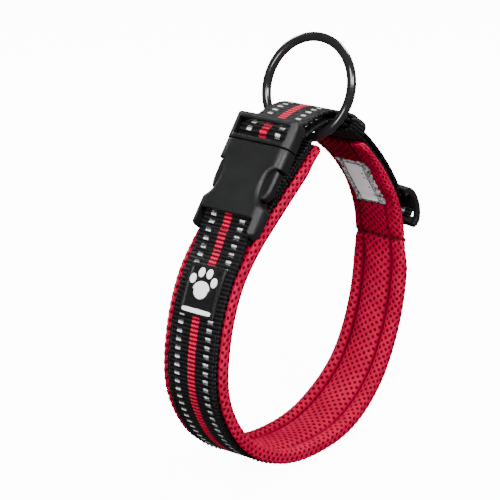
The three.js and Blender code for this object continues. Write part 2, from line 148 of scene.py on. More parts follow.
# ---- node materials ----
class Shader:
    """A material built from small node calls; a value is a number or a socket."""

    def __init__(self, name):
        self.material = bpy.data.materials.new(name)
        self.material.use_nodes = True
        self.tree = self.material.node_tree
        self.principled = self.tree.nodes["Principled BSDF"]

    def node(self, kind, **options):
        made = self.tree.nodes.new(kind)
        for key, value in options.items():
            setattr(made, key, value)
        return made

    def plug(self, socket, value):
        if isinstance(value, bpy.types.NodeSocket):
            self.tree.links.new(value, socket)
        elif hasattr(socket.default_value, "__len__") and len(value) == 3:
            socket.default_value = (*value, 1)[:len(socket.default_value)]
        else:
            socket.default_value = value

    def math(self, operation, a, b=0.0):
        made = self.node("ShaderNodeMath", operation=operation)
        for socket, value in zip(made.inputs, (a, b)):
            self.plug(socket, value)
        return made.outputs[0]

    def add(self, a, b):
        return self.math("ADD", a, b)

    def minus(self, a, b):
        return self.math("SUBTRACT", a, b)

    def times(self, a, b):
        return self.math("MULTIPLY", a, b)

    def over(self, a, b):
        return self.math("DIVIDE", a, b)

    def away(self, a, b):
        """How far a is from b."""
        return self.math("ABSOLUTE", self.minus(a, b))

    def wave(self, turns):
        """A wave from 0 to 1 and back, once for each turn."""
        return self.math("ABSOLUTE", self.math("SINE", self.times(turns, math.pi)))

    def between(self, value, low, high, soft=0.1):
        """1 from low to high and 0 outside, with soft edges."""
        return self.times(self.step(value, low - soft, low),
                          self.step(value, high, high + soft, 1.0, 0.0))

    def feed(self, node, **values):
        """Gives a node's inputs by name, with _ for a space."""
        for key, value in values.items():
            self.plug(node.inputs[key.replace("_", " ")], value)
        return node

    def step(self, value, low, high, out_low=0.0, out_high=1.0):
        made = self.node("ShaderNodeMapRange", interpolation_type="SMOOTHSTEP")
        self.feed(made, Value=value, From_Min=low, From_Max=high, To_Min=out_low, To_Max=out_high)
        return made.outputs["Result"]

    def mix(self, factor, a, b):
        made = self.node("ShaderNodeMix", data_type="RGBA")
        self.plug(made.inputs["Factor"], factor)
        for name, value in (("A", a), ("B", b)):
            self.plug([i for i in made.inputs if i.name == name and i.type == "RGBA"][0], value)
        return [o for o in made.outputs if o.type == "RGBA"][0]

    def strap(self):
        """The two strap coordinates in millimetres: across, along."""
        split = self.node("ShaderNodeSeparateXYZ")
        self.plug(split.inputs[0], self.node("ShaderNodeUVMap", uv_map="strap").outputs[0])
        return split.outputs[0], split.outputs[1]

    def noise(self, scale, detail=3.0, rough=0.6):
        place = self.node("ShaderNodeTexCoord").outputs["Object"]
        made = self.node("ShaderNodeTexNoise")
        self.feed(made, Vector=place, Scale=scale, Detail=detail, Roughness=rough)
        return made.outputs["Fac"]

    def bump(self, height, distance, strength=1.0, under=None):
        made = self.node("ShaderNodeBump")
        self.feed(made, Strength=strength, Distance=distance, Height=height)
        if under:
            self.plug(made.inputs["Normal"], under)
        return made.outputs["Normal"]

    def glow(self, colour, strength):
        self.feed(self.principled, Emission_Color=colour, Emission_Strength=strength)

    def set(self, base, rough, normal=None, specular=None, coat=None):
        """Fills in the surface and returns the material."""
        for key, value in (("Base Color", base), ("Roughness", rough), ("Normal", normal),
                           ("Specular IOR Level", specular), ("Coat Weight", coat)):
            if value is not None:
                self.plug(self.principled.inputs[key], value)
        return self.material


def webbing_look(name, patterned=True):
    look = Shader(name)
    across, along = look.strap()
    rib = look.over(along, RIB)
    rib_wave = look.wave(rib)
    shift = look.times(look.math("FLOOR", rib), 0.5)
    yarn_wave = look.wave(look.add(look.over(across, YARN), shift))
    weave = look.times(rib_wave, look.add(look.times(yarn_wave, 0.6), 0.4))
    fibre = look.noise(2600, 2)
    # painted shade and painted glint: the colour is darkened in the weave's hollows and lightened past
    # its own colour on the rib tops
    shade = look.step(weave, 0.2, 0.95, 0.12, 1.4)
    wobble = look.times(look.minus(look.noise(900, 1), 0.5), 0.5)
    colour = look.mix(look.step(fibre, 0.35, 0.7), (0.002, 0.002, 0.002), (0.016, 0.016, 0.017))
    if patterned:
        side = look.math("ABSOLUTE", look.add(across, wobble))
        stripe = look.step(side, STRIPE_HALF, STRIPE_HALF + 0.25, 1.0, 0.0)
        red = look.mix(fibre, (0.55, 0.001, 0.035), (0.90, 0.003, 0.070))
        colour = look.mix(stripe, colour, red)
        lane = look.step(look.away(side, DASH_ACROSS), DASH_HALF, DASH_HALF + 0.25, 1.0, 0.0)
        tilted = look.add(along, look.times(across, 0.06))
        beat = look.math("FRACT", look.over(look.add(tilted, wobble), 2 * RIB))
        dash = look.times(lane, look.step(look.away(beat, 0.25), 0.19, 0.25, 1.0, 0.0))
        silver = look.mix(fibre, (0.50, 0.51, 0.52), (0.98, 0.98, 1.0))
        colour = look.mix(dash, colour, silver)
    shaded = look.node("ShaderNodeVectorMath", operation="SCALE")
    look.plug(shaded.inputs[0], colour)
    look.plug(shaded.inputs["Scale"], shade)
    normal = look.bump(weave, 0.00035, 0.9, look.bump(fibre, 0.0001, 0.35))
    return look.set(base=shaded.outputs[0], rough=0.5, normal=normal, specular=0.14)


def hole_mask(look, across, along):
    """1 in the mesh's holes, which sit in rows, every other row shifted by half a hole."""
    row = look.over(along, HOLE_ALONG)
    shift = look.times(look.math("FLOOR", row), 0.5)
    u = look.minus(look.math("FRACT", look.add(look.over(across, HOLE_ACROSS), shift)), 0.5)
    v = look.minus(look.math("FRACT", row), 0.5)
    du, dv = look.times(u, HOLE_ACROSS), look.times(v, HOLE_ALONG)
    far = look.math("SQRT", look.add(look.times(du, du), look.times(dv, dv)))
    return look.step(far, 0.50, 0.92, 1.0, 0.0)


def mesh_look(name, grooves):
    """Red spacer mesh; grooves are the places across where it is drawn in, and where painted shade
    darkens it.
    """
    look = Shader(name)
    across, along = look.strap()
    fibre = look.noise(2400, 3)
    loops, strand = look.wave(look.over(along, 0.43)), look.wave(look.over(across, 0.65))
    knit = look.times(look.add(loops, 0.5), look.add(strand, 0.5))
    cloud = look.step(look.noise(60, 2), 0.35, 0.65)
    red = look.mix(cloud, (0.56, 0.001, 0.045), (0.70, 0.002, 0.060))
    # painted shade: the red is darker in the hollows between the knit's loops
    red = look.mix(look.step(knit, 0.3, 1.6, 0.55, 0.0), red, (0.34, 0.0005, 0.024))
    # painted highlight: pale pink specks where the fibres catch light
    red = look.mix(look.times(look.step(fibre, 0.5, 0.75), 0.25), red, (0.95, 0.02, 0.13))
    # painted shade: the holes are painted deep dark red for the shade inside them
    hole = look.times(hole_mask(look, across, along), 0.93)
    colour = look.mix(hole, red, (0.085, 0.0002, 0.008))
    # painted shade: the mesh is darkened along each sewn channel, where shade falls in the groove
    for place in grooves:
        depth = look.step(look.away(across, place), 0.3, 1.9, 0.72, 0.0)
        colour = look.mix(depth, colour, (0.10, 0.0003, 0.010))
    normal = look.bump(knit, 0.00022, 0.7, look.bump(fibre, 0.00012, 0.4))
    return look.set(base=colour, rough=0.85, normal=normal, specular=0.06)


def plastic_look(name):
    look = Shader(name)
    fine = look.noise(2800, 2, 0.5)
    coarse = look.noise(55, 3)
    colour = look.mix(coarse, (0.0048, 0.0049, 0.0052), (0.0090, 0.0093, 0.0096))
    roughness = look.add(look.step(coarse, 0.3, 0.7, 0.36, 0.45),
                         look.step(fine, 0.3, 0.7, -0.02, 0.06))
    return look.set(base=colour, rough=roughness, normal=look.bump(fine, 0.0001, 0.7),
                    specular=0.32)


def gloss_look(name):
    look = Shader(name)
    swirl = look.noise(180, 4)
    colour = look.mix(swirl, (0.008, 0.008, 0.009), (0.016, 0.016, 0.017))
    normal = look.bump(look.noise(300, 3), 0.00005, 0.25)
    return look.set(base=colour, rough=look.step(swirl, 0.3, 0.7, 0.12, 0.2), normal=normal,
                    specular=0.5, coat=0.2)


def cloth_look(name, low, high, scale=1800, rough=0.85, depth=0.0001, glow=0.0):
    look = Shader(name)
    grain = look.noise(scale, 3)
    colour = look.mix(look.step(grain, 0.35, 0.68), low, high)
    # painted light: a glow in the cloth's own colours, used for the patch's print
    if glow:
        look.glow(colour, glow)
    return look.set(base=colour, rough=rough, normal=look.bump(grain, depth, 0.6), specular=0.3)


# ---- meshes ----
def link(name, mesh, look=None, smooth=True):
    piece = bpy.data.objects.new(name, mesh)
    scene.collection.objects.link(piece)
    if look:
        mesh.materials.append(look)
    if smooth:
        mesh.shade_smooth()
    return piece


def pairs(across, along):
    return np.stack(np.broadcast_arrays(across, along), -1)


def tube(name, rows, look=None, strap=None, caps=True):
    """A mesh through rows of points in millimetres; strap holds each point's (across, along)."""
    n, m = rows.shape[:2]
    i = np.arange(n - 1)[:, None]
    j = np.arange(m)[None, :]
    a, b = i * m + j, i * m + (j + 1) % m
    quads = np.stack([a, b, b + m, a + m], -1).reshape(-1, 4)
    faces = quads.tolist()
    if caps:
        faces += [list(range(m))[::-1], [(n - 1) * m + k for k in range(m)]]
    mesh = bpy.data.meshes.new(name)
    mesh.from_pydata((rows.reshape(-1, 3) * MM).tolist(), [], faces)
    if strap is not None:
        layer = mesh.uv_layers.new(name="strap")
        flat = strap.reshape(-1, 2)
        loops = np.empty(len(mesh.loops), dtype=np.int32)
        mesh.loops.foreach_get("vertex_index", loops)
        layer.data.foreach_set("uv", flat[loops].astype(np.float32).ravel())
    mesh.update()
    return link(name, mesh, look)


def centripetal(points, per=24):
    """The centripetal Catmull-Rom curve through points."""
    p = np.array(points, float)
    p = np.vstack([2 * p[0] - p[1], p, 2 * p[-1] - p[-2]])
    out = []
    for k in range(1, len(p) - 2):
        near = p[k - 1:k + 3]
        steps = np.diff(near, axis=0)
        gap = np.sqrt(np.linalg.norm(steps, axis=1)) + 1e-9
        slope = steps / gap[:, None]
        m1 = (slope[0] - (near[2] - near[0]) / (gap[0] + gap[1]) + slope[1]) * gap[1]
        m2 = (slope[1] - (near[3] - near[1]) / (gap[1] + gap[2]) + slope[2]) * gap[1]
        t = np.linspace(0, 1, per, endpoint=False)[:, None]
        out.append((2 * t ** 3 - 3 * t ** 2 + 1) * p[k] + (t ** 3 - 2 * t ** 2 + t) * m1
                   + (3 * t ** 2 - 2 * t ** 3) * p[k + 1] + (t ** 3 - t ** 2) * m2)
    return np.vstack(out + [p[-2:-1]])


def face_out(piece, weld=False):
    """Turns every face outwards, and joins points that coincide."""
    build = bmesh.new()
    build.from_mesh(piece.data)
    if weld:
        bmesh.ops.remove_doubles(build, verts=build.verts, dist=1e-6)
    bmesh.ops.recalc_face_normals(build, faces=build.faces)
    build.to_mesh(piece.data)
    build.free()


def discard(piece):
    mesh = piece.data
    bpy.data.objects.remove(piece)
    bpy.data.meshes.remove(mesh)


def smoothstep(value, low, high):
    t = np.clip((value - low) / (high - low), 0, 1)
    return t * t * (3 - 2 * t)


class Course:
    """A strap's middle line in the side view, by its length."""

    def __init__(self, points, per=24, leans=True):
        self.points = centripetal(points, per)
        steps = np.linalg.norm(np.diff(self.points, axis=0), axis=1)
        self.marks = np.concatenate([[0], np.cumsum(steps)])
        self.length = self.marks[-1]
        self.leans = leans

    def at(self, s):
        return np.stack([np.interp(s, self.marks, self.points[:, k]) for k in (0, 1)], -1)

    def normal(self, s, reach=0.6):
        along = self.at(np.clip(s + reach, 0, self.length)) - self.at(np.clip(s - reach, 0, self.length))
        along /= np.linalg.norm(along, axis=-1, keepdims=True)
        return np.stack([-along[..., 1], along[..., 0]], -1)

    def place(self, s, x, h):
        """Points at length s, x across and h over the line, in millimetres."""
        s, x, h = np.broadcast_arrays(np.asarray(s, float), x, h)
        side = self.at(s) + self.normal(s) * h[..., None]
        if self.leans:
            side[..., 0] -= LEAN * smoothstep(side[..., 0], LEAN_FROM, LEAN_FULL) * x
        return np.stack([x, side[..., 0], side[..., 1]], -1)


loop = Course(LOOP, 40)


def over_loop(at_from, at_to, height, count):
    s = np.linspace(at_from, at_to, count) * loop.length
    return (loop.at(s) + loop.normal(s) * height).tolist()


def finish(piece, body, slot, *nodes):
    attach(piece, body)
    if nodes:
        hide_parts(*nodes)


# ---- webbing ----
RIB_DEPTH, YARN_DEPTH = 0.17, 0.045


def webbing(name, course, s_from, s_to, look, height=0.0, over=46, under=18):
    """Ribbed webbing along a course; over and under count the points across its two faces."""
    s = np.linspace(s_from, s_to, int((s_to - s_from) / WEB_STEP) + 1)
    edge = WEB_THICK / 2
    flat = WEB_HALF - edge
    bend = np.linspace(math.pi / 2, -math.pi / 2, 7)[1:-1]
    round_x, round_h = edge * np.cos(bend), edge * np.sin(bend)
    x = np.concatenate([np.linspace(-flat, flat, over), flat + round_x,
                        np.linspace(flat, -flat, under), -flat - round_x])
    h = np.concatenate([np.full(over, edge), round_h, np.full(under, -edge), -round_h])
    wave = np.abs(np.sin(math.pi * s / RIB)) ** 0.8 - 0.55
    rib = RIB_DEPTH * wave[:, None]
    yarn = YARN_DEPTH * np.sin(2 * math.pi * x / YARN)[None, :] * (1 - np.abs(wave[:, None]))
    swell = np.sign(h)[None, :] * (rib + yarn) * np.clip(np.abs(h) / edge, 0.35, 1)[None, :]
    wider = np.where(np.abs(x) > flat, np.sign(x), 0)[None, :] * 0.14 * wave[:, None]
    rows = course.place(s[:, None], x[None, :] + wider, height + h[None, :] + swell)
    strap = pairs(x[None, :], s[:, None])
    return tube(name, rows, look, strap)


def stitch_run(name, places, look, radius=0.26, sides=6, rings=5):
    """Short rounded stitches; places holds each one's two end points and its outward way."""
    rows_all, faces = [], []
    angle = np.linspace(0, 2 * math.pi, sides, endpoint=False)
    t = np.linspace(0, 1, rings)
    for start, stop, out in places:
        start, stop, out = (np.array(v, float) for v in (start, stop, out))
        along = stop - start
        side = np.cross(along / np.linalg.norm(along), out)
        base = len(rows_all) * rings * sides
        belly = np.sin(math.pi * t) ** 0.6
        centre = start + t[:, None] * along + out * (0.34 * belly - 0.18)[:, None]
        size = radius * (0.35 + 0.65 * belly)[:, None, None]
        ring = centre[:, None, :] + size * (np.cos(angle)[None, :, None] * side
                                            + np.sin(angle)[None, :, None] * out)
        rows_all.append(ring.reshape(-1, 3))
        for r in range(rings - 1):
            for k in range(sides):
                a, b = base + r * sides + k, base + r * sides + (k + 1) % sides
                faces.append((a, a + sides, b + sides, b))
        faces.append(tuple(base + k for k in range(sides)))
        faces.append(tuple(base + (rings - 1) * sides + k for k in range(sides))[::-1])
    mesh = bpy.data.meshes.new(name)
    mesh.from_pydata((np.vstack(rows_all) * MM).tolist(), [], faces)
    mesh.update()
    return link(name, mesh, look)


def stitch_line(course, s_from, s_to, x, height, pitch=3.1, gap=0.55):
    """Stitches along a course, as their two ends and their outward way."""
    starts = np.arange(s_from, s_to - pitch, pitch)
    ways = [(0, *way) for way in course.normal(starts + pitch / 2)]
    return list(zip(course.place(starts, x, height),
                    course.place(starts + pitch - gap, x, height), ways))


def cross_line(course, s, x_from, x_to, height, pitch=2.6, gap=0.5):
    """Stitches across a course."""
    xs = np.arange(x_from, x_to - pitch / 2, pitch)
    way = (0, *course.normal(np.array([s]))[0])
    return [(a, b, way) for a, b in zip(course.place(s, xs, height),
                                        course.place(s, xs + pitch - gap, height))]


# ---- pad ----
LANES = (-9.6, 7.8)             # the two sewn channels
SEAM_SLANT = 0.09               # the seam between tongue and strap runs askew
CHANNEL_DEPTH, SEAM_DEPTH, HEM_DEPTH, BELLY, SIDE_SWELL = 2.2, 1.9, 0.6, 1.3, 1.75
SIM_FRAMES, SIM_PRESSURE, SIM_CAP = 20, 4.0, 0.9


def cubic(values, t, wrap=False):
    """Catmull-Rom interpolation of rows at fractional places t."""
    n = len(values)
    k = np.floor(t).astype(int)
    f = (t - k).reshape((-1,) + (1,) * (values.ndim - 1))
    a, b, c, d = (values[(k + j) % n if wrap else np.clip(k + j, 0, n - 1)] for j in (-1, 0, 1, 2))
    bend = 2 * a - 5 * b + 4 * c - d + f * (3 * (b - c) + d - a)
    return b + 0.5 * f * (c - a + f * bend)


def pad_section():
    """Across and height of the pad's outline, from the middle of its outer face round."""
    skin, edge = 0.05, 1.6
    depth = PAD_THICK - 0.55
    outer, inner = np.linspace(0, 12.6, 6), np.linspace(13.0, 0, 19)[:-1]
    turn = np.linspace(math.pi / 2, -math.pi / 2, 8)
    turn_x = PAD_HALF - edge + edge * np.cos(turn)
    turn_h = -depth / 2 - skin + (depth / 2) * np.sin(turn)
    x = np.concatenate([outer, turn_x, inner])
    h = np.concatenate([np.full(len(outer), -skin), turn_h, np.full(len(inner), -depth - skin)])
    return np.concatenate([x, [0], -x[:0:-1]]), np.concatenate([h, [-depth - skin], h[:0:-1]])


def channel(s):
    """How deep the sewn channels are at length s: none on the free tongues."""
    seam, length = SEAM_AT * loop.length, loop.length
    return smoothstep(s, seam + 0.5, seam + 14) * (1 - smoothstep(s, 0.96 * length, 0.985 * length))


def lane_distance(x):
    return np.minimum(np.abs(x - LANES[0]), np.abs(x - LANES[1]))


def pad_rows(s, x, h):
    """The pad's surface before it is puffed up, with rounded tongue ends."""
    length = loop.length
    end = np.minimum(s, length - s)
    round_off = np.sqrt(np.clip(1 - (1 - np.clip(end / 1.9, 0, 1)) ** 2, 0.02, 1))
    corner = 3.0 * (1 - np.sqrt(np.clip(1 - (1 - np.clip(end / 3.4, 0, 1)) ** 2, 0, 1)))
    mid = -PAD_THICK / 2
    height = mid + (h[None, :] - mid) * round_off[:, None]
    across = x[None, :] * (1 - corner / PAD_HALF)[:, None]
    inner = h[None, :] < mid
    near_channel = np.exp(-lane_distance(x)[None, :] / 1.5)
    seam = np.exp(-((s[:, None] - SEAM_AT * length + SEAM_SLANT * x[None, :]) / 1.0) ** 2)
    hem = np.exp(-((s - 3.4) / 0.6) ** 2)[:, None] + np.exp(-((s - length + 3.2) / 0.6) ** 2)[:, None]
    sink = CHANNEL_DEPTH * near_channel * channel(s)[:, None]
    sink = np.maximum(sink, SEAM_DEPTH * seam)
    sink = np.maximum(sink, HEM_DEPTH * np.clip(hem, 0, 1))
    centre, reach = (LANES[0] + LANES[1]) / 2, (LANES[1] - LANES[0]) / 2
    middle_lane = np.clip(1 - ((x - centre) / reach) ** 2, 0, 1) ** 0.7
    beyond = np.maximum((x - LANES[1]) / (15.6 - LANES[1]), (LANES[0] - x) / (15.6 + LANES[0]))
    side_lane = np.sin(math.pi * np.clip(beyond, 0, 1)) ** 0.8
    belly = (BELLY * middle_lane + BELLY * side_lane)[None, :] * channel(s)[:, None]
    height = height + np.where(inner, sink * round_off[:, None] - belly, 0)
    # the side lanes swell out past the webbing's edges
    swell = smoothstep(np.abs(x), 12.7, 13.9)[None, :] * channel(s)[:, None]
    height = height + np.where(inner, -0.3, SIDE_SWELL) * swell
    across = across + 0.35 * np.sign(x)[None, :] * swell
    return across, height


def puff(rows, pinned):
    """Cloth under pressure: the pad's lanes swell between the sewn channels."""
    piece = tube("pad_sim", rows)
    group = piece.vertex_groups.new(name="sewn")
    for index in np.nonzero(pinned.ravel())[0].tolist():
        group.add([index], 1.0, "REPLACE")
    cloth = piece.modifiers.new("cloth", "CLOTH")
    settings = cloth.settings
    settings.use_pressure = True
    settings.uniform_pressure_force = SIM_PRESSURE
    settings.effector_weights.gravity = 0
    settings.vertex_group_mass = "sewn"
    settings.quality = 5
    cloth.point_cache.frame_start, cloth.point_cache.frame_end = 1, SIM_FRAMES
    for number in range(1, SIM_FRAMES + 1):
        scene.frame_set(number)
    shown = piece.evaluated_get(bpy.context.evaluated_depsgraph_get())
    moved = points_of(shown.data)
    discard(piece)
    scene.frame_set(1)
    shift = moved.reshape(rows.shape) / MM - rows
    size = np.linalg.norm(shift, axis=-1, keepdims=True)
    return rows + shift * np.minimum(1, SIM_CAP / np.maximum(size, 1e-6))


def holes(q, s):
    row = s / HOLE_ALONG
    index = np.floor(row)
    u = (q / HOLE_ACROSS + index * 0.5) % 1 - 0.5
    v = row - index - 0.5
    return 1 - smoothstep(np.hypot(u * HOLE_ACROSS, v * HOLE_ALONG), 0.4, 0.95)


def pad_stations():
    """Lengths of the simulated rows, closer together at the ends and at the seam."""
    s = np.linspace(0, loop.length, 150)
    ends = np.array([0, 0.25, 0.6, 1.1, 1.9])
    s = np.concatenate([ends, s[(s > 2.6) & (s < loop.length - 2.6)], loop.length - ends[::-1]])
    near_seam = SEAM_AT * loop.length + np.arange(-5, 5.1, 0.8)
    return np.concatenate([s[s < near_seam[0] - 0.5], near_seam, s[s > near_seam[-1] + 0.5]])


def sewn_points(s, x, h):
    """Points that the webbing or a thread holds, which the pressure leaves in place."""
    under_web = (np.abs(x)[None, :] < 12.8) & (h[None, :] > -0.5)
    in_channel = (lane_distance(x)[None, :] < 0.6) & (channel(s)[:, None] > 0.5)
    seam = SEAM_AT * loop.length - SEAM_SLANT * x
    at_seam = (np.abs(s[:, None] - seam[None, :]) < 1.2) & (np.abs(x)[None, :] < 14)
    at_end = (np.minimum(s, loop.length - s) < 3.6)[:, None]
    return under_web | in_channel | at_seam | at_end


def outward(surface):
    """Unit normals of a surface of closed rows, away from the rows' middles."""
    out = np.cross(np.gradient(surface, axis=0), np.roll(surface, -1, 1) - np.roll(surface, 1, 1))
    out /= np.maximum(np.linalg.norm(out, axis=-1, keepdims=True), 1e-9)
    middle = surface.mean(axis=1, keepdims=True)
    return np.sign(np.sum((surface - middle) * out, axis=-1).mean()) * out


def add_pad():
    """The whole pad as one sewn tube; returns its inner surface for the label."""
    x, h = pad_section()
    s = pad_stations()
    rows = loop.place(s[:, None], *pad_rows(s, x, h))
    rows = puff(rows, sewn_points(s, x, h))
    # finer rows and columns: q is the way round the section, in millimetres
    around = np.linalg.norm(np.roll(rows, -1, axis=1) - rows, axis=-1)[40:-20].mean(axis=0)
    knots = np.concatenate([[0], np.cumsum(around)])
    round_length, cover, fine = knots[-1], 12.0, 0.45
    covered = np.linspace(0, cover, 10)[:-1]        # coarse where the webbing hides the pad
    q_fine = np.concatenate([covered, np.arange(cover, round_length - cover, fine),
                             round_length - cover + covered])
    s_fine = np.arange(0, loop.length, fine)
    s_fine = np.concatenate([s_fine[s_fine < loop.length - 0.3], [loop.length]])
    part = cubic(rows, np.interp(s_fine, s, np.arange(len(s))))
    t_q = np.interp(q_fine, knots, np.arange(len(knots)))
    full = cubic(part.transpose(1, 0, 2), t_q, wrap=True).transpose(1, 0, 2)
    out = outward(full)
    fade = smoothstep(np.minimum(s_fine, loop.length - s_fine), 0.4, 2.0)[:, None]
    full = full - out * (0.5 * holes(q_fine[None, :], s_fine[:, None]) * fade)[..., None]
    strap = pairs(q_fine[None, :], s_fine[:, None])
    inner_side = h < -PAD_THICK / 2
    grooves = [float(np.interp(-place, -x[inner_side], knots[:-1][inner_side])) for place in LANES]
    piece = tube("pad", full, mesh_look("pad_mesh", grooves), strap)
    finish(piece, "collar", "mesh", "pad_outer_mesh", "pad_foam", "pad_inner_mesh")
    inner = np.abs(q_fine - round_length / 2) < PAD_HALF
    return s_fine, full[:, inner], out[:, inner]


# ---- label on the inside of the back tongue ----
LABEL_RELAX = 14                # smoothing passes that take the pad's holes out of the label


def label_look():
    """A printed label: a white panel in a dark frame on a speckled ground, with small marks."""
    look = Shader("label_cloth")
    across, along = look.strap()
    ink = (0.02, 0.02, 0.023)
    grain = look.noise(700, 3, 0.7)
    grey = look.mix(look.step(grain, 0.38, 0.6), (0.02, 0.02, 0.024), (0.62, 0.62, 0.64))
    white = look.mix(look.noise(2600, 2), (0.90, 0.89, 0.92), (0.98, 0.98, 0.99))
    panel_along = look.between(along, 3.4, 28.9, 0.2)
    panel = look.times(look.between(across, -5.4, 5.4, 0.2), panel_along)
    border = look.times(look.between(across, -6.0, 6.0), look.between(along, 2.7, 29.6))
    colour = look.mix(border, grey, ink)
    colour = look.mix(panel, colour, white)
    rows = look.step(look.math("FRACT", look.over(along, 3.0)), 0.5, 0.6, 1.0, 0.0)
    marks = look.times(look.step(look.noise(620, 1), 0.52, 0.56), rows)
    marks = look.times(look.times(marks, look.between(across, 3.1, 5.2)), panel_along)
    colour = look.mix(marks, colour, (0.03, 0.03, 0.034))
    colour = look.mix(look.step(along, 29.8, 30.0), colour, ink)
    weave = look.times(look.math("SINE", look.times(across, 12.0)),
                       look.math("SINE", look.times(along, 12.0)))
    # painted light: the label glows a little in its own colours, so its white panel stays bright where
    # the lamps leave it in shade
    look.glow(colour, 0.3)
    return look.set(base=colour, rough=0.8, normal=look.bump(weave, 0.00006, 0.6), specular=0.3)


def add_label(s_fine, surface, out):
    """A thin woven patch laid on the pad's inner surface."""
    rows_from, rows_to = LABEL_AT[0] * loop.length, LABEL_AT[1] * loop.length
    picked = np.nonzero((s_fine >= rows_from) & (s_fine <= rows_to))[0]
    slant = np.rint(LABEL_SLANT * (surface[0, :, 0] - LABEL_X) / (s_fine[2] - s_fine[1])).astype(int)
    rows = picked[:, None] + slant[None, :]
    patch, way = (np.take_along_axis(values, rows[..., None], axis=0) for values in (surface, out))
    columns = np.abs(patch[0, :, 0] - LABEL_X) < 9.3
    patch, way = patch[:, columns], way[:, columns]
    for _ in range(LABEL_RELAX):
        patch[1:-1, 1:-1] = (patch[:-2, 1:-1] + patch[2:, 1:-1] + patch[1:-1, :-2]
                             + patch[1:-1, 2:]) / 4
    n, m = patch.shape[:2]
    way = way / np.linalg.norm(way, axis=-1, keepdims=True)
    flat_way = way.mean(axis=1, keepdims=True)
    edge = np.minimum(np.minimum(np.arange(n), np.arange(n)[::-1])[:, None],
                      np.minimum(np.arange(m), np.arange(m)[::-1])[None, :])
    lift = 0.22 + 0.3 * smoothstep(edge.astype(float), 0, 3)
    top = patch + flat_way * lift[..., None]
    low = patch - flat_way * 0.1
    rows = np.concatenate([top, low[:, ::-1]], axis=1)
    x = patch[..., 0] - LABEL_X
    both = pairs(x, (np.arange(n) * (s_fine[1] - s_fine[0]))[:, None])
    strap = np.concatenate([both, both[:, ::-1]], axis=1)
    piece = tube("label", rows, label_look(), strap)
    finish(piece, "collar", "label", "label_base", "label_panel")
    return top, flat_way


# ---- solids made from outlines ----
def prism(name, outline, low, high):
    """A closed prism over an outline of (x, y) points, in millimetres."""
    build = bmesh.new()
    under = [build.verts.new((x, y, low)) for x, y in outline]
    over = [build.verts.new((x, y, high)) for x, y in outline]
    count = len(outline)
    build.faces.new(under[::-1])
    build.faces.new(over)
    for k in range(count):
        build.faces.new((under[k], under[(k + 1) % count], over[(k + 1) % count], over[k]))
    bmesh.ops.recalc_face_normals(build, faces=build.faces)
    mesh = bpy.data.meshes.new(name)
    build.to_mesh(mesh)
    build.free()
    return link(name, mesh, smooth=False)


def box(low, high):
    (x0, y0, z0), (x1, y1, z1) = low, high
    return prism("box", [(x0, y0), (x1, y0), (x1, y1), (x0, y1)], z0, z1)


def bar(radius, half, y, z, sides=24):
    angles = np.linspace(0, 2 * math.pi, sides, endpoint=False)
    piece = prism("bar", [(radius * math.cos(a), radius * math.sin(a)) for a in angles], -half, half)
    piece.data.transform(Matrix.Translation((0, y, z)) @ Matrix.Rotation(math.pi / 2, 4, "Y"))
    return piece


def combine(piece, others, operation):
    for other in others:
        step = piece.modifiers.new("cut", "BOOLEAN")
        step.operation, step.object, step.solver = operation, other, "EXACT"
        settle(piece)
        discard(other)


def settle(piece):
    """Applies the piece's modifiers."""
    graph = bpy.context.evaluated_depsgraph_get()
    made = bpy.data.meshes.new_from_object(piece.evaluated_get(graph), depsgraph=graph)
    old = piece.data
    piece.modifiers.clear()
    made.name = old.name
    piece.data = made
    bpy.data.meshes.remove(old)


def soften(piece, voxel=0.22, passes=2):
    """Remeshes a solid in millimetres finely and rounds its edges."""
    remesh = piece.modifiers.new("remesh", "REMESH")
    remesh.mode, remesh.voxel_size = "VOXEL", voxel
    settle(piece)
    smooth_points(piece, passes)
    piece.data.shade_smooth()


def smooth_points(piece, passes):
    step = piece.modifiers.new("smooth", "SMOOTH")
    step.factor, step.iterations = 0.5, passes
    settle(piece)


def points_of(mesh):
    flat = np.empty(len(mesh.vertices) * 3, dtype=np.float32)
    mesh.vertices.foreach_get("co", flat)
    return flat.reshape(-1, 3).astype(float)


def edge_distance(points, outline):
    """Distance in plan from each point to an open outline."""
    best = np.full(len(points), 1e9)
    for a, b in zip(outline[:-1], outline[1:]):
        a, b = np.array(a, float), np.array(b, float)
        span = b - a
        t = np.clip(((points - a) @ span) / max(span @ span, 1e-9), 0, 1)
        best = np.minimum(best, np.linalg.norm(points - (a + t[:, None] * span), axis=1))
    return best


def fillet(distance, reach, drop):
    inside = np.clip(1 - distance / reach, 0, 1)
    return drop * (1 - np.sqrt(1 - inside ** 2 * 0.999))


def curve_on(points, *turns):
    """An outline that goes on from its last point through Bezier turns of three points each."""
    t = np.linspace(0, 1, 9)[1:, None]
    for turn in turns:
        p0, p1, p2, p3 = (np.array(p, float) for p in (points[-1], *turn))
        line = (1 - t) ** 3 * p0 + 3 * (1 - t) ** 2 * t * p1 + 3 * (1 - t) * t ** 2 * p2 + t ** 3 * p3
        points = points + [tuple(p) for p in line]
    return points


def buckle_piece(piece, look, body, *nodes):
    """Takes a piece from the buckle's own frame in millimetres to the frame in metres."""
    piece.data.transform(Matrix.Scale(MM, 4) @ Matrix.Translation(BUCKLE_PLACE)
                         @ Matrix.Rotation(BUCKLE_TILT, 4, "X"))
    piece.data.update()
    piece.data.materials.append(look)
    finish(piece, body, "buckle", *nodes)


def tilted(x, y, z, place, tilt):
    """Points of a frame at a place, tilted about the x axis."""
    c, s = math.cos(tilt), math.sin(tilt)
    return np.stack([place[0] + x, place[1] + y * c - z * s, place[2] + y * s + z * c], -1)


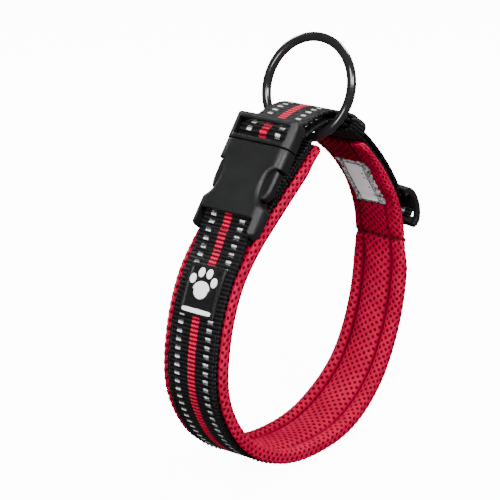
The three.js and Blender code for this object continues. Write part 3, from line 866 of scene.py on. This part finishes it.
# ---- buckle ----
PLATE, CAVITY, POCKET, SLOT_HALF = 1.7, 13.6, 15.4, 13.1
HALF = 16.0
HOUSING_END, HORN_END, FLOOR = -31.0, -38.6, -23.0
SCALLOP = curve_on([(HALF, -8.4)], [(11.6, -8.9), (10.9, -12.5), (10.8, -16.5)],
                   [(10.9, -20.5), (12.0, -24.6), (HALF, -26.6)])
HORN = [(HALF + 0.2, -30.0), (HALF, -35.0), (15.6, -37.2), (14.6, -38.5), (13.4, -38.5)]


def mirror(points):
    return [(-x, y) for x, y in points[::-1]]


def round_over(piece, rules, high, low):
    """Lowers the outer face and raises the inner one near the sides, for an outline of None,
    or near open outlines and their mirror images: (outline, reach, drop)."""
    points = points_of(piece.data)
    plan = points[:, :2]
    drop = np.zeros(len(points))
    for outline, reach, amount in rules:
        if outline is None:
            distance = np.clip(HALF - np.abs(plan[:, 0]), 0, None)
        else:
            distance = np.minimum(edge_distance(plan, outline),
                                  edge_distance(plan * (-1, 1), outline))
        drop = np.maximum(drop, fillet(distance, reach, amount))
    outer = np.clip((points[:, 2] - low) / (high - low), 0, 1)
    points[:, 2] -= drop * outer
    inner = np.clip((-5.2 - points[:, 2]) / 3.4, 0, 1)
    points[:, 2] += 0.55 * drop * inner
    piece.data.vertices.foreach_set("co", points.astype(np.float32).ravel())
    piece.data.update()


def add_housing(look):
    right = [(HALF, -0.05)] + SCALLOP + HORN + [(12.9, -36.0)]
    outline = right + mirror(right)
    body = prism("female_housing_moulded", outline, -BUCKLE_THICK, 0)
    inside = -BUCKLE_THICK + PLATE
    combine(body, [
        box((-CAVITY, -9.8, inside), (CAVITY, 1, -PLATE)),
        box((-POCKET, FLOOR, inside), (POCKET, -8.9, -PLATE)),
        box((-SLOT_HALF, HORN_END - 1, -BUCKLE_THICK - 1), (SLOT_HALF, FLOOR - 1.5, -PLATE)),
        box((-SLOT_HALF, HORN_END - 1, -PLATE - 1), (SLOT_HALF, HOUSING_END, 1)),
        side_cut([(FLOOR - 4, -BUCKLE_THICK - 4), (HORN_END - 3, -BUCKLE_THICK - 4),
                  (HORN_END - 3, -6.0), (HORN_END + 1.5, -7.0), (FLOOR - 8, -BUCKLE_THICK)]),
    ], "DIFFERENCE")
    combine(body, [bar(1.2, SLOT_HALF + 0.5, -28.2, -5.0)], "UNION")
    soften(body)
    round_over(body, [(None, 4.8, 4.0), (SCALLOP, 2.3, 1.9), (HORN, 2.9, 3.0)], 0, -6.5)
    smooth_points(body, 9)
    buckle_piece(body, look, "collar", "female_housing")


def side_cut(outline):
    """A wedge right across the buckle from a (y, z) outline."""
    piece = prism("wedge", outline, -HALF - 3, HALF + 3)
    piece.data.transform(Matrix(((0, 0, 1, 0), (1, 0, 0, 0), (0, 1, 0, 0), (0, 0, 0, 1))))
    return piece


MALE_END, WINDOW = 12.6, (2.2, 9.6)


def add_plug(look):
    end, corner = HALF - 0.3, 3.6
    turn = curve_on([(end, MALE_END - corner)],
                    [(end, MALE_END - 0.8), (end - 0.9, MALE_END), (end - corner, MALE_END)])
    right = [(HALF, 0.3), (HALF, 3.0)] + turn
    outline = right + mirror(right)
    body = prism("male_frame_moulded", outline, -BUCKLE_THICK, 0.3)
    combine(body, [
        box((-12.7, WINDOW[0], -3), (12.7, WINDOW[1], 2)),
        box((-SLOT_HALF, WINDOW[0], -BUCKLE_THICK - 1), (SLOT_HALF, WINDOW[1], -1.6)),
        box((-SLOT_HALF, WINDOW[1] - 1, -BUCKLE_THICK - 1), (SLOT_HALF, MALE_END + 1, -2.2)),
    ], "DIFFERENCE")
    combine(body, [bar(1.3, SLOT_HALF + 0.5, 5.9, -5.2)], "UNION")
    soften(body)
    top = turn + mirror(turn)
    round_over(body, [(None, 4.8, 4.0), (top, 2.2, 1.8)], 0.3, -6.5)
    smooth_points(body, 8)
    buckle_piece(body, look, "plug", "male_frame")


def add_prongs(look):
    inside = curve_on([(9.6, -0.1), (9.9, -9), (8.6, -18)], [(8.6, -21), (9.6, -22.2), (11.2, -22.3)])
    outside = curve_on(inside[-1:], [(13.4, -22.2), (14.6, -21.0), (14.9, -17.5)])[1:]
    outside += [(15.1, -9.6)]
    shape = inside + outside + [(13.1, -9.0), (12.6, -0.1)]
    for side, name in ((1, "prong_right"), (-1, "prong_left")):
        piece = prism(name + "_moulded", shape, -BUCKLE_THICK + PLATE + 0.5, -PLATE - 0.5)
        soften(piece)
        round_over(piece, [(outside, 1.8, 1.5)], -2.2, -5.5)
        smooth_points(piece, 2)
        if side < 0:
            piece.data.transform(Matrix.Scale(-1, 4, (1, 0, 0)))
            piece.data.flip_normals()
        buckle_piece(piece, look, name, name)


# ---- ring, slider and keeper ----
SLIDER_BAR_TOP = 8.6
BAND_RIB = 1.3


def add_ring(look):
    turns, sides = 160, 28
    a = np.linspace(0, 2 * math.pi, turns, endpoint=False)[:, None]
    b = np.linspace(0, 2 * math.pi, sides, endpoint=False)[None, :]
    weld = np.exp(-((a - 1.5 * math.pi) / 0.045) ** 2)
    wire = RING_WIRE * (1 - 0.05 * np.exp(-((a - 1.5 * math.pi) / 0.09) ** 2) + 0.06 * weld)
    out = RING_RADIUS + wire * np.cos(b)
    x, y, z = out * np.cos(a), out * np.sin(a), wire * np.sin(b) + 0 * a
    rows = tilted(x, y, z, RING_CENTRE, RING_TILT)
    rows = np.concatenate([rows, rows[:1]])
    piece = tube("leash_ring_polished", rows, look, caps=False)
    face_out(piece, weld=True)
    piece.data.shade_smooth()
    finish(piece, "ring", "ring", "leash_ring")


def add_slider(look):
    """The CAD slider's shape with rounded moulded edges."""
    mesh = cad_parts["slider_frame"].data.copy()
    mesh.materials.clear()
    mesh.transform(Matrix.Scale(1 / MM, 4))
    piece = link("slider_frame_moulded", mesh)
    soften(piece, 0.25, 4)
    piece.data.transform(Matrix.Scale(MM, 4))
    piece.data.materials.append(look)
    finish(piece, "slider", "buckle", "slider_frame")


def slider_turn():
    """From the slider's own frame to the collar's, in millimetres."""
    at = np.array([SLIDER_AT * loop.length])
    middle, out = loop.at(at)[0], loop.normal(at)[0]
    lean = LEAN * float(smoothstep(np.array(middle[0]), LEAN_FROM, LEAN_FULL))
    tilt = math.atan2(-out[0], out[1])
    return (Matrix.Translation((0, middle[0], middle[1])) @ Matrix.Rotation(-math.atan(lean), 4, "Z")
            @ Matrix.Rotation(tilt, 4, "X"))


def add_slider_fold(look):
    """The strap's turn over the slider's middle bar."""
    top = SLIDER_BAR_TOP
    course = Course([(-6.4, 4.9), (-4.8, 5.6), (-3.4, 6.7), (-3.5, top + 0.6), (-2.2, top + 2.4),
                     (0, top + 3), (2.5, top + 2.3), (3.7, top + 0.4), (4.6, 7.2), (5.9, 5.6),
                     (5.2, 4.6)], leans=False)
    piece = webbing("slider_fold_webbing", course, 0, course.length, look)
    piece.data.transform(Matrix.Scale(MM, 4) @ slider_turn() @ Matrix.Scale(1 / MM, 4))
    finish(piece, "slider", "webbing", "strap_slider_fold")


def add_keeper(look):
    """A folded band sewn into a loop round both layers of the strap."""
    half_x, high, low, corner = 13.7, 3.3, -3.2, 2.2
    ring = []
    for cx, cz, start in ((half_x - corner, low + corner, -0.5), (half_x - corner, high - corner, 0),
                          (corner - half_x, high - corner, 0.5), (corner - half_x, low + corner, 1.0)):
        for k in range(7):
            angle = math.pi * (start + k / 12)
            ring.append((cx + corner * math.cos(angle), cz + corner * math.sin(angle)))
    path = Course([(0, low)] + ring + [(0.4, low)], per=10, leans=False)
    s = np.linspace(0, path.length, 360)
    width = np.linspace(-1, 1, 31)
    edge = np.linspace(math.pi / 2, -math.pi / 2, 6)[1:-1]
    y = np.concatenate([4.9 * width, 4.9 + 0.6 * np.cos(edge), -4.9 * width, -4.9 - 0.6 * np.cos(edge)])
    h = np.concatenate([np.full(31, 0.6), 0.6 * np.sin(edge), np.full(31, -0.6), -0.6 * np.sin(edge)])
    wave = np.abs(np.sin(math.pi * s / BAND_RIB)) ** 0.8 - 0.5
    belly = 0.55 * np.abs(np.sin(math.pi * (y - 5.5) / 5.5)) ** 0.7
    out = -(h[None, :] + np.sign(h)[None, :] * 0.14 * wave[:, None] + belly[None, :])
    flat = path.place(s[:, None], y[None, :], out)
    rows = tilted(flat[..., 1], flat[..., 0], flat[..., 2], KEEPER_PLACE, KEEPER_TILT)
    strap = pairs(y[None, :], s[:, None] * RIB / BAND_RIB)
    piece = tube("strap_keeper_band", rows, look, strap)
    face_out(piece)
    finish(piece, "keeper", "buckle", "strap_keeper")


# ---- patch ----
PATCH_HALF, PATCH_TOP, PRINT_BASE = 9.0, 2.95, 3.0
PATCH_FROM, PATCH_TO = PATCH_AT[0] * loop.length, PATCH_AT[1] * loop.length
PATCH_MID, PATCH_REACH = (PATCH_FROM + PATCH_TO) / 2, (PATCH_TO - PATCH_FROM) / 2


def square_to_round(u, v, corner_u, corner_v):
    """Rounds the corners of a rectangle given in -1..1; corner is the rounded share."""
    cu = np.clip((np.abs(u) - 1 + corner_u) / corner_u, 0, 1)
    cv = np.clip((np.abs(v) - 1 + corner_v) / corner_v, 0, 1)
    nu, nv = cu * np.sqrt(1 - cv ** 2 / 2), cv * np.sqrt(1 - cu ** 2 / 2)
    return (np.sign(u) * np.where(cu > 0, 1 - corner_u + nu * corner_u, np.abs(u)),
            np.sign(v) * np.where(cv > 0, 1 - corner_v + nv * corner_v, np.abs(v)))


def add_patch(look, print_look, thread):
    """The rubber patch with its rim and sewn groove, its stitches and its raised print."""
    u, v = np.broadcast_arrays(np.linspace(-1, 1, 61)[None, :], np.linspace(-1, 1, 67)[:, None])
    round_u, round_v = square_to_round(u, v, 0.16, 0.14)
    x, s = round_u * PATCH_HALF, PATCH_MID + round_v * PATCH_REACH
    inset = np.minimum((1 - np.abs(u)) * PATCH_HALF, (1 - np.abs(v)) * PATCH_REACH)
    top = (2.05 + 1.0 * smoothstep(inset, 0, 0.5) - 0.5 * smoothstep(inset, 1.5, 1.9)
           - 0.3 * np.exp(-((inset - 0.95) / 0.28) ** 2))
    over, under = loop.place(s, x, top), loop.place(s, x, np.full_like(top, 2.0))
    both = pairs(x, s)
    piece = tube("patch_rubber", np.concatenate([over, under[:, ::-1]], axis=1), look,
                 np.concatenate([both, both[:, ::-1]], axis=1))
    finish(piece, "collar", "patch", "patch_base")
    ring = []
    for side in (-7.9, 7.9):
        ring += stitch_line(loop, PATCH_FROM + 1.4, PATCH_TO - 1.0, side, PATCH_TOP, 2.0, 0.5)
    for end in (PATCH_FROM + 1.15, PATCH_TO - 1.15):
        ring += cross_line(loop, end, -7.4, 7.6, PATCH_TOP, 2.0, 0.5)
    finish(stitch_run("patch_stitches", ring, thread, 0.18, 5, 4), "collar", "thread")
    piece = dome("patch_paw_pad_print", print_look, 0, 0.4, 4.0, 3.2, lobes=0.16)
    finish(piece, "collar", "print", "patch_paw_pad")
    for i, (x, y) in enumerate(((-5.3, 3.9), (-2, 6.8), (2, 6.8), (5.3, 3.9))):
        piece = dome(f"patch_paw_toe_{i + 1}_print", print_look, x, y, 1.45, 1.9)
        finish(piece, "collar", "print", f"patch_paw_toe_{i + 1}")
    piece = dome("patch_bar_print", print_look, 0, -8.0, 7.2, 0.9, rise=0.35, power=6)
    finish(piece, "collar", "print", "patch_bar")


def dome(name, look, x, y, half_x, half_y, rise=0.45, lobes=0.0, power=2.0):
    """A raised print at a place on the patch; a higher power makes its outline squarer."""
    a = np.linspace(0, 2 * math.pi, 48, endpoint=False)
    radius = 1 / (np.abs(np.cos(a)) ** power + np.abs(np.sin(a)) ** power) ** (1 / power)
    radius *= 1 + lobes * np.where(np.sin(a) < 0, np.cos(2 * a + math.pi), 0.0)
    share = np.array([1.0, 1.0, 0.985, 0.93, 0.8, 0.5, 0.12])[:, None] * radius
    lift = np.array([0.0, 0.55, 0.8, 0.93, 0.98, 1.0, 1.0])[:, None] * rise
    across = x + half_x * share * np.cos(a)
    along = PATCH_MID + y + half_y * share * np.sin(a)
    rows = loop.place(along, across, PRINT_BASE + lift)
    return tube(name, rows, look, pairs(across, along))


# ---- assembly ----
INNER_COURSE = [(21, 67.6), (13, 71.9), (5.5, 74.8), (-3.6, 74.2), (-10.5, 72.6), (-14.5, 71.6)]
OUTER_COURSE = [(-18.2, 76.5), (-13.4, 76.9), (-7, 78.2), (-2, 78.9), (4, 78.7), (9.5, 77.1),
                (15, 73.9), (21.2, 70)]


def buckle_side(y, z):
    """A point of the buckle's frame, in the side view."""
    return tuple(tilted(0, y, z, BUCKLE_PLACE, BUCKLE_TILT)[1:])


def arc(middle, radius, turn_from, turn_to, count=9):
    angles = BUCKLE_TILT + np.linspace(turn_from, turn_to, count)
    return [(middle[0] + radius * math.cos(a), middle[1] + radius * math.sin(a)) for a in angles]


def risen(steps):
    """Points over the loop near the buckle tack: (station from the tack, height)."""
    return [tuple(over_loop(TACK_AT + at, TACK_AT + at, height, 1)[0]) for at, height in steps]


# The main strap runs up the pad, leaves it at the tack, turns round the socket's bar and
# comes back under itself.
main_course = Course(
    over_loop(SEAM_AT, TACK_AT - 0.04, WEB_MID, 70)
    + risen([(-0.03, 1.25), (-0.022, 1.9), (-0.014, 2.9), (-0.006, 3.9), (0.004, 4.8)])
    + arc(buckle_side(-28.2, -5.0), 2.3, 1.75, -1.75)
    + risen([(0.003, 3.0), (-0.004, 2.0), (-0.011, 1.2)]), per=8)


def add_straps(look, plain):
    length = loop.length
    piece = webbing("main_webbing", main_course, 0, main_course.length, look, under=12)
    finish(piece, "collar", "webbing", "strap_sewn", "strap_socket_fold")
    tongue = webbing("front_tongue_webbing", loop, TACK_AT * length + 1.5, 0.994 * length, plain,
                     WEB_MID, under=4)
    finish(tongue, "collar", "webbing", "strap_front_tongue")
    turned = webbing("front_tongue_turned_webbing", loop, 0.912 * length, 0.996 * length, plain,
                     WEB_MID + 1.85, under=12)
    finish(turned, "collar", "webbing")
    back = over_loop(SEAM_AT - 0.002, 0.012, 1.3, 12)
    front = over_loop(0.016, SLIDER_AT - 0.030, 4.1, 8)
    end = over_loop(SLIDER_AT - 0.0225, SLIDER_AT - 0.0145, 3.4, 2)
    round_bar = arc(buckle_side(5.9, -5.2), 2.4, 4.9, 1.45)
    free = Course(back + INNER_COURSE + round_bar + OUTER_COURSE + front + end)
    piece = webbing("free_strap_webbing", free, 0, free.length, look, under=40)
    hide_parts("strap_inner_layer", "strap_outer_layer", "strap_plug_fold")
    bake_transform(piece)


def tack_length():
    """Where the main strap passes over the buckle tack."""
    over = np.array(risen([(-0.006, 3.9)])[0])
    s = np.linspace(0, main_course.length, 4000)
    return s[np.argmin(np.linalg.norm(main_course.at(s) - over, axis=1))]


def add_seams(thread):
    length = loop.length
    for name, side in (("seam_far", -1), ("seam_near", 1)):
        run = stitch_line(loop, (SEAM_AT + 0.012) * length, (PATCH_AT[0] - 0.01) * length,
                          side * 11.1, 2.0)
        finish(stitch_run(name + "_stitches", run, thread), "collar", "thread", name)
    at = SEAM_AT * length
    back = cross_line(loop, at + 1.0, -11.5, 11.5, 2.05) + cross_line(loop, at + 2.6, -11.5, 11.5, 2.05)
    for x in np.arange(-13.5, 12, 2.2):
        back += cross_line(loop, at - SEAM_SLANT * x, x, x + 2.2, -2.55, 2.2, 0.4)
    finish(stitch_run("seam_back_stitches", back, thread), "collar", "thread", "seam_back")
    tack = []
    for k in range(3):
        tack += cross_line(main_course, tack_length() - 1.5 + 1.2 * k, -10, 10, 0.95, 1.7, 0.2)
    for k in range(2):
        tack += cross_line(main_course, tack_length() - 8.6 + 1.1 * k, -11.5, 11.5, 0.9, 1.7, 0.15)
    finish(stitch_run("seam_buckle_stitches", tack, thread), "collar", "thread", "seam_buckle")


def main():
    add_camera()
    add_studio()
    add_floor()
    webbing_pattern = webbing_look("webbing_patterned")
    webbing_plain = webbing_look("webbing_plain", False)
    thread = cloth_look("thread_black", (0.004, 0.004, 0.004), (0.02, 0.02, 0.021), 2400, 0.6)
    plastic = plastic_look("buckle_plastic")
    rubber = cloth_look("patch_rubber", (0.003, 0.003, 0.0035), (0.007, 0.007, 0.0075), 900, 0.42,
                        0.00004)
    # painted light: the patch's print glows a little, so it stays whiter than the lamps alone make it
    white = cloth_look("patch_white", (0.93, 0.93, 0.94), (0.99, 0.99, 0.99), 1200, 0.5, 0.00004, 0.45)
    inside = add_pad()
    add_label(*inside)
    add_straps(webbing_pattern, webbing_plain)
    add_seams(thread)
    add_housing(plastic)
    add_plug(plastic)
    add_prongs(plastic)
    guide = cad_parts["male_guide"]
    guide.data.materials.clear()
    guide.data.materials.append(plastic)
    add_ring(gloss_look("ring_black"))
    add_slider(plastic)
    add_slider_fold(webbing_pattern)
    add_keeper(webbing_plain)
    add_patch(rubber, white, thread)


main()
